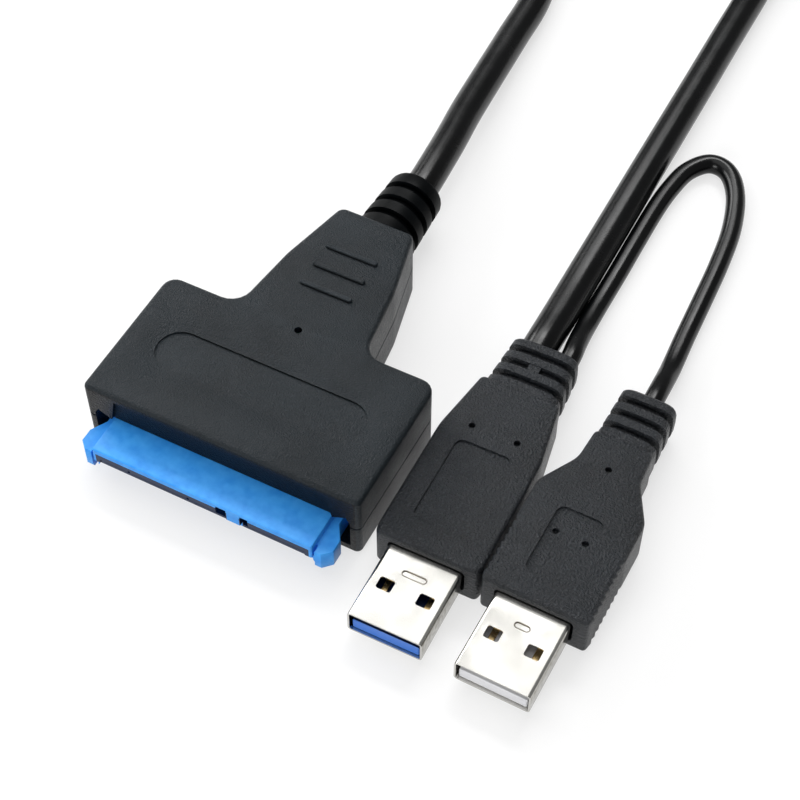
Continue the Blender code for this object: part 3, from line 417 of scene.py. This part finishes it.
def plug_part():
    """A mask of what lies on the plugs' side of one line and in front of another."""
    group, start, end = new_group(
        "plug_part",
        [("From X", "NodeSocketFloat", 0.025), ("Before Y", "NodeSocketFloat", 1.0)],
        [("Mask", "NodeSocketFloat")],
    )
    shape = node(group, "ShaderNodeNewGeometry")
    spot = split_vector(group, shape.outputs["Position"])
    beside = maths(group, "GREATER_THAN", spot["X"], start.outputs["From X"])
    before = maths(group, "LESS_THAN", spot["Y"], start.outputs["Before Y"])
    group.links.new(maths(group, "MULTIPLY", beside, before), end.inputs["Mask"])
    return group


GRAIN = moulded_grain()
DRIFT = slow_drift()
EDGE_HIGHLIGHT = edge_highlight()
WALL_SHADE = shaded_walls()
SHADE = slot_shade()
FRONT = front_faces()
PLUGS = plug_part()


def use_group(tree, group, **values):
    placed = node(tree, "ShaderNodeGroup", node_tree=group)
    for key, value in values.items():
        placed.inputs[key.replace("_", " ")].default_value = value
    return placed


def new_finish(name, colour, roughness, metallic=0.0, specular=0.5):
    material = bpy.data.materials.new(name)
    material.use_nodes = True
    shader = material.node_tree.nodes["Principled BSDF"]
    shader.inputs["Base Color"].default_value = (*colour, 1.0)
    shader.inputs["Roughness"].default_value = roughness
    shader.inputs["Metallic"].default_value = metallic
    shader.inputs["Specular IOR Level"].default_value = specular
    return material, material.node_tree, shader


def drift_colour(tree, shader, dark, light, patches):
    drift = use_group(tree, DRIFT, Patches_per_Metre=patches, Low=0.0, High=1.0)
    colour = colour_mix(tree, drift.outputs["Value"], dark, light)
    tree.links.new(colour, shader.inputs["Base Color"])
    return colour


def drift_gloss(tree, shader, low, high, patches):
    drift = use_group(tree, DRIFT, Patches_per_Metre=patches, Low=low, High=high)
    tree.links.new(drift.outputs["Value"], shader.inputs["Roughness"])


def grain_bump(tree, shader, per_metre, unevenness, strength, distance):
    grain = use_group(tree, GRAIN, Grain_per_Metre=per_metre, Unevenness=unevenness)
    bump = node(tree, "ShaderNodeBump")
    bump.inputs["Strength"].default_value = strength
    bump.inputs["Distance"].default_value = distance
    tree.links.new(grain.outputs["Height"], bump.inputs["Height"])
    tree.links.new(bump.outputs["Normal"], shader.inputs["Normal"])
    return grain


def black_moulding(name, dark, light, roughness, specular, per_metre, relief, flecking, front_shade=0.0):
    """Matte black plastic with spark-eroded grain, a painted highlight on its edges and, as much as
    asked, painted shade on the faces towards the receptacle's end.
    """
    material, tree, shader = new_finish(name, dark, roughness, 0.0, specular)
    colour = drift_colour(tree, shader, dark, light, 90.0)
    drift_gloss(tree, shader, roughness - 0.05, roughness + 0.06, 140.0)
    grain = grain_bump(tree, shader, per_metre, 0.75, 1.0, relief)
    flecks = maths(tree, "MULTIPLY", grain.outputs["High Spots"], flecking)
    # Grain high spots and a painted highlight along the edges make the colour lighter.
    edge_glint = use_group(tree, EDGE_HIGHLIGHT, Sharpness=0.6)
    lightened = maths(tree, "MAXIMUM", flecks, edge_glint.outputs["Mask"])
    colour = colour_mix(tree, lightened, colour, tuple(c * 2.2 + 0.01 for c in light))
    # Faces towards the receptacle's end go near black: painted shade.
    front = use_group(tree, FRONT)
    shaded = maths(tree, "MULTIPLY", front.outputs["Mask"], front_shade)
    colour = colour_mix(tree, shaded, colour, (0.0004, 0.0005, 0.0006))
    tree.links.new(colour, shader.inputs["Base Color"])
    return material


def cord_jacket():
    """Smooth black cord jacket with a soft gloss and faint handling marks."""
    material, tree, shader = new_finish("cord_jacket", (0.002, 0.0024, 0.0028), 0.24, 0.0, 0.26)
    drift_colour(tree, shader, (0.001, 0.0012, 0.0014), (0.0022, 0.0026, 0.003), 160.0)
    drift_gloss(tree, shader, 0.2, 0.28, 260.0)
    grain_bump(tree, shader, 1800.0, 0.7, 0.08, 0.00004)
    return material


def sleeve_rubber():
    material, tree, shader = new_finish("sleeve_rubber", (0.003, 0.0034, 0.004), 0.4, 0.0, 0.06)
    drift_colour(tree, shader, (0.0008, 0.0012, 0.0016), (0.002, 0.0028, 0.0034), 160.0)
    drift_gloss(tree, shader, 0.36, 0.48, 200.0)
    grain_bump(tree, shader, 2600.0, 0.6, 0.12, 0.00005)
    return material


def blue_moulding():
    """Bright blue connector plastic, a little darker in slow patches."""
    material, tree, shader = new_finish("blue_moulding", (0.03, 0.27, 0.82), 0.38, 0.0, 0.3)
    colour = drift_colour(tree, shader, (0.03, 0.3, 0.88), (0.06, 0.4, 0.99), 650.0)
    # The slots and the wall under them go dark navy: painted shade.
    shade = use_group(tree, SHADE)
    colour = colour_mix(tree, shade.outputs["Mask"], colour, (0.001, 0.012, 0.05))
    # The plug's tongue is a deeper blue at its end; the rest of it, inside the shell, goes dark navy as
    # painted shade.
    front = use_group(tree, FRONT, Steepness=-0.3)
    tongue = colour_mix(tree, front.outputs["Mask"], (0.004, 0.014, 0.06), (0.05, 0.2, 0.72))
    plugs = use_group(tree, PLUGS)
    colour = colour_mix(tree, plugs.outputs["Mask"], colour, tongue)
    tree.links.new(colour, shader.inputs["Base Color"])
    drift_gloss(tree, shader, 0.32, 0.44, 200.0)
    grain_bump(tree, shader, 2200.0, 0.7, 0.1, 0.00004)
    return material


def white_moulding():
    material, tree, shader = new_finish("white_moulding", (0.84, 0.84, 0.86), 0.4)
    drift_colour(tree, shader, (0.8, 0.8, 0.83), (0.88, 0.88, 0.9), 200.0)
    grain_bump(tree, shader, 2200.0, 0.7, 0.08, 0.00004)
    return material


NICKEL = (0.58, 0.57, 0.54)
NICKEL_IN_SHADE = (0.22, 0.205, 0.17)


def rolled_nickel():
    """Nickel-plated strip with faint rolling lines along it."""
    material, tree, shader = new_finish("rolled_nickel", NICKEL, 0.16, 1.0)
    links = tree.links
    place = node(tree, "ShaderNodeTexCoord")
    stretch = node(tree, "ShaderNodeMapping")
    stretch.inputs["Scale"].default_value = (9000.0, 120.0, 9000.0)
    links.new(place.outputs["Object"], stretch.inputs["Vector"])
    lines = noise_value(tree, stretch.outputs["Vector"], 1.0, Detail=2.0)
    bump = node(tree, "ShaderNodeBump")
    bump.inputs["Strength"].default_value = 0.05
    bump.inputs["Distance"].default_value = 0.00002
    links.new(lines, bump.inputs["Height"])
    links.new(bump.outputs["Normal"], shader.inputs["Normal"])
    drift_gloss(tree, shader, 0.13, 0.24, 220.0)
    # The upright walls, but not the faces towards the plug's end, go darker: painted shade.
    walls = use_group(tree, WALL_SHADE)
    front = use_group(tree, FRONT, Steepness=-0.5)
    shaded_sides = maths(tree, "SUBTRACT", walls.outputs["Mask"], front.outputs["Mask"], clamp=True)
    links.new(colour_mix(tree, shaded_sides, NICKEL, NICKEL_IN_SHADE), shader.inputs["Base Color"])
    return material


def plated_contact():
    material, tree, shader = new_finish("plated_contact", (0.83, 0.6, 0.28), 0.25, 1.0)
    colour = drift_colour(tree, shader, (0.75, 0.52, 0.22), (0.9, 0.68, 0.36), 900.0)
    # The contacts' tips at the plugs' end go blue-black: painted shade.
    tip_shade = use_group(tree, PLUGS, Before_Y=-0.0385)
    colour = colour_mix(tree, tip_shade.outputs["Mask"], colour, (0.02, 0.03, 0.07))
    tree.links.new(colour, shader.inputs["Base Color"])
    drift_gloss(tree, shader, 0.2, 0.34, 900.0)
    return material


def board_mask():
    """Green solder mask with the faint relief of the tracks under it."""
    material, tree, shader = new_finish("board_mask", (0.02, 0.16, 0.06), 0.35)
    drift_colour(tree, shader, (0.012, 0.11, 0.045), (0.03, 0.2, 0.08), 400.0)
    grain_bump(tree, shader, 900.0, 0.2, 0.3, 0.00005)
    return material


def plain_part(name, dark, light, roughness, metallic=0.0):
    material, tree, shader = new_finish(name, dark, roughness, metallic)
    drift_colour(tree, shader, dark, light, 700.0)
    grain_bump(tree, shader, 3000.0, 0.5, 0.1, 0.00003)
    return material


def lamp_lens():
    material, tree, shader = new_finish("lamp_lens", (0.12, 0.3, 0.8), 0.15)
    drift_colour(tree, shader, (0.1, 0.26, 0.75), (0.16, 0.36, 0.85), 900.0)
    return material


FINISHES = {
    "black_housing": black_moulding(
        "housing_black",
        dark=(0.0042, 0.007, 0.0095),
        light=(0.008, 0.0128, 0.017),
        roughness=0.36,
        specular=0.21,
        per_metre=3800.0,
        relief=0.00024,
        flecking=0.6,
        front_shade=1.0,
    ),
    "black_grip": black_moulding(
        "grip_black",
        dark=(0.005, 0.0063, 0.0082),
        light=(0.011, 0.0137, 0.0175),
        roughness=0.33,
        specular=0.38,
        per_metre=2800.0,
        relief=0.00052,
        flecking=0.95,
    ),
    "black_sleeve": sleeve_rubber(),
    "black_cord": cord_jacket(),
    "blue_connector": blue_moulding(),
    "white_insulator": white_moulding(),
    "nickel_shell": rolled_nickel(),
    "gold_contacts": plated_contact(),
    "circuit_board_green": board_mask(),
    "chip_black": plain_part("chip_package", (0.015, 0.015, 0.016), (0.03, 0.03, 0.031), 0.5),
    "can_steel": plain_part("can_metal", (0.55, 0.55, 0.53), (0.68, 0.68, 0.66), 0.3, 1.0),
    "capacitor_tan": plain_part("capacitor_ceramic", (0.4, 0.28, 0.17), (0.5, 0.37, 0.25), 0.5),
    "lamp_lens": lamp_lens(),
}


# CAD pieces that stay


def smooth_faces():
    """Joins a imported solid's loose corners and shades it smooth up to its real edges."""
    tree = bpy.data.node_groups.new("smooth_faces", "GeometryNodeTree")
    tree.interface.new_socket(name="Geometry", in_out="INPUT", socket_type="NodeSocketGeometry")
    tree.interface.new_socket(name="Geometry", in_out="OUTPUT", socket_type="NodeSocketGeometry")
    start = tree.nodes.new("NodeGroupInput")
    end = tree.nodes.new("NodeGroupOutput")
    drop = tree.nodes.new("GeometryNodeRemoveAttribute")
    drop.inputs["Name"].default_value = "custom_normal"
    weld = tree.nodes.new("GeometryNodeMergeByDistance")
    weld.inputs["Distance"].default_value = 0.000002
    faces = tree.nodes.new("GeometryNodeSetShadeSmooth")
    edges = tree.nodes.new("GeometryNodeSetShadeSmooth")
    edges.domain = "EDGE"
    angle = tree.nodes.new("GeometryNodeInputMeshEdgeAngle")
    soft = tree.nodes.new("FunctionNodeCompare")
    soft.operation = "LESS_THAN"
    soft.inputs["B"].default_value = math.radians(32)
    links = tree.links
    links.new(start.outputs[0], drop.inputs["Geometry"])
    links.new(drop.outputs["Geometry"], weld.inputs["Geometry"])
    links.new(weld.outputs["Geometry"], faces.inputs["Geometry"])
    links.new(faces.outputs["Geometry"], edges.inputs["Geometry"])
    links.new(angle.outputs["Unsigned Angle"], soft.inputs["A"])
    links.new(soft.outputs["Result"], edges.inputs["Shade Smooth"])
    links.new(edges.outputs["Geometry"], end.inputs[0])
    return tree


def finish_nodes():
    smooth = smooth_faces()
    slots = {s["node"]: s["material_slot"] for s in frame["record"]["subparts"]}
    for name, solid in frame["nodes"].items():
        for i in range(len(solid.material_slots)):
            solid.material_slots[i].material = FINISHES[slots[name]]
        modifier = solid.modifiers.new("smooth_faces", "NODES")
        modifier.node_group = smooth


# Fine pieces


def stadium(length, width, steps=8):
    """Points round a slot with round ends, on its middle."""
    radius = width / 2
    straight = length / 2 - radius
    points = []
    for middle, start in ((straight, -90), (-straight, 90)):
        for i in range(steps + 1):
            a = math.radians(start + 180 * i / steps)
            points.append((middle + radius * math.cos(a), radius * math.sin(a)))
    return points


def make_press_rims():
    """The rolled-over rim round the pressed mark in the middle of each shell's top."""
    # The rim's metal is much darker than the shell's, so the mark's edge shows as a dark line: painted
    # shade.
    finish = plain_part("rolled_rim", (0.12, 0.105, 0.085), (0.3, 0.27, 0.22), 0.35, 1.0)
    for plug, length in PRESS_LENGTHS.items():
        shell = frame["nodes"][f"{plug}_shell"]
        x, y, turn = PLUG_PLACES[plug]
        curve = bpy.data.curves.new(f"{plug}_press_rim", "CURVE")
        curve.dimensions = "3D"
        curve.bevel_depth = PRESS_RIM * MM
        curve.bevel_resolution = 2
        spline = curve.splines.new("POLY")
        outline = stadium(length, PRESS_WIDTH)
        spline.points.add(len(outline) - 1)
        for knot, (u, v) in zip(spline.points, outline):
            along = v - PRESS_MARK
            across = x + u * math.cos(turn) - along * math.sin(turn)
            back = y + u * math.sin(turn) + along * math.cos(turn)
            knot.co = (*in_model((across, back, SHELL_TOP)), 1.0)
        spline.use_cyclic_u = True
        curve.materials.append(finish)
        rim = bpy.data.objects.new(f"{plug}_press_rim", curve)
        bpy.context.scene.collection.objects.link(rim)
        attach(rim, "root")


# Floor and light

FLOOR_REACH = 3.0
FLOOR_LEVEL = -0.00004
FLOOR_PAINT = (0.5, 0.5, 0.5)  # pale grey, so that little light comes back up from it
FLOOR_SEEN = (0.97, 0.97, 0.97)
FLOOR_WHITE = 0.66  # how much of the floor that is seen is plain white; the rest takes the shadows
WORLD_LEVEL = 0.24  # how strongly the surroundings light the object

# Lamps: name, place, the point it faces, width, height and power
LAMPS = (
    ("window_light", (-0.85, 0.3, 0.42), (0.02, 0.08, 0.0), 0.8, 0.26, 5.0),
    ("back_panel", (-0.58, 0.81, 0.9), (-0.58, 0.81, 0.0), 0.64, 0.54, 5.8),
    ("side_panel", (-0.055, 0.71, 0.9), (-0.055, 0.71, 0.0), 0.41, 0.3, 5.0),
    ("ceiling_panel", (-0.375, 0.06, 0.9), (-0.375, 0.06, 0.0), 1.05, 0.82, 3.45),
    ("front_light", (-0.1, -0.8, 0.38), (0.02, -0.02, 0.0), 0.5, 0.3, 3.8),
)


def seen_rays(tree):
    """One for the rays that show the background: seen straight, in a gloss or through glass."""
    path = node(tree, "ShaderNodeLightPath").outputs
    seen = maths(tree, "MAXIMUM", path["Is Camera Ray"], path["Is Glossy Ray"])
    return maths(tree, "MAXIMUM", seen, path["Is Transmission Ray"])


def make_floor():
    mesh = bpy.data.meshes.new("floor")
    signs = ((-1, -1), (1, -1), (1, 1), (-1, 1))
    corners = [(FLOOR_REACH * x, FLOOR_REACH * y, FLOOR_LEVEL) for x, y in signs]
    mesh.from_pydata(corners, [], [(0, 1, 2, 3)])
    floor = bpy.data.objects.new("floor", mesh)
    bpy.context.scene.collection.objects.link(floor)
    material, tree, shader = new_finish("floor_white", FLOOR_SEEN, 0.9, 0.0, 0.0)
    seen = seen_rays(tree)
    paint = colour_mix(tree, seen, FLOOR_PAINT, FLOOR_SEEN)
    tree.links.new(paint, shader.inputs["Base Color"])
    away = node(tree, "ShaderNodeVectorMath", operation="LENGTH")
    place = node(tree, "ShaderNodeNewGeometry")
    tree.links.new(place.outputs["Position"], away.inputs[0])
    # Beyond the shadows the floor goes over to plain white, and so into the background.
    share = map_range(
        tree, away.outputs["Value"], From_Min=0.4, From_Max=1.1, To_Min=FLOOR_WHITE, To_Max=1.0
    )
    white = node(tree, "ShaderNodeEmission")
    white.inputs["Color"].default_value = (1.0, 1.0, 1.0, 1.0)
    white.inputs["Strength"].default_value = 1.0
    mix = node(tree, "ShaderNodeMixShader")
    tree.links.new(maths(tree, "MULTIPLY", seen, share), mix.inputs["Fac"])
    tree.links.new(shader.outputs["BSDF"], mix.inputs[1])
    tree.links.new(white.outputs["Emission"], mix.inputs[2])
    tree.links.new(mix.outputs["Shader"], tree.nodes["Material Output"].inputs["Surface"])
    mesh.materials.append(material)


def area_light(name, place, aim, width, height, power):
    data = bpy.data.lights.new(name, "AREA")
    data.shape = "RECTANGLE"
    data.size = width
    data.size_y = height
    data.energy = power
    light = bpy.data.objects.new(name, data)
    bpy.context.scene.collection.objects.link(light)
    light.location = Vector(place)
    direction = Vector(aim) - Vector(place)
    light.rotation_euler = direction.to_track_quat("-Z", "Y").to_euler()


def set_light():
    world = bpy.data.worlds.new("studio")
    bpy.context.scene.world = world
    world.use_nodes = True
    tree = world.node_tree
    tree.nodes.clear()
    fill = node(tree, "ShaderNodeBackground")
    fill.inputs["Color"].default_value = (1.0, 1.0, 1.0, 1.0)
    # Only the background that is seen straight is white; the object is lit by less.
    path = node(tree, "ShaderNodeLightPath")
    level = maths(tree, "MULTIPLY_ADD", path.outputs["Is Camera Ray"], 1.0 - WORLD_LEVEL, WORLD_LEVEL)
    tree.links.new(level, fill.inputs["Strength"])
    out = node(tree, "ShaderNodeOutputWorld")
    tree.links.new(fill.outputs["Background"], out.inputs["Surface"])
    for lamp in LAMPS:
        area_light(*lamp)


set_camera()
make_cords(FINISHES["black_cord"])
finish_nodes()
make_press_rims()
make_floor()
set_light()
bpy.context.scene.view_settings.view_transform = "Standard"
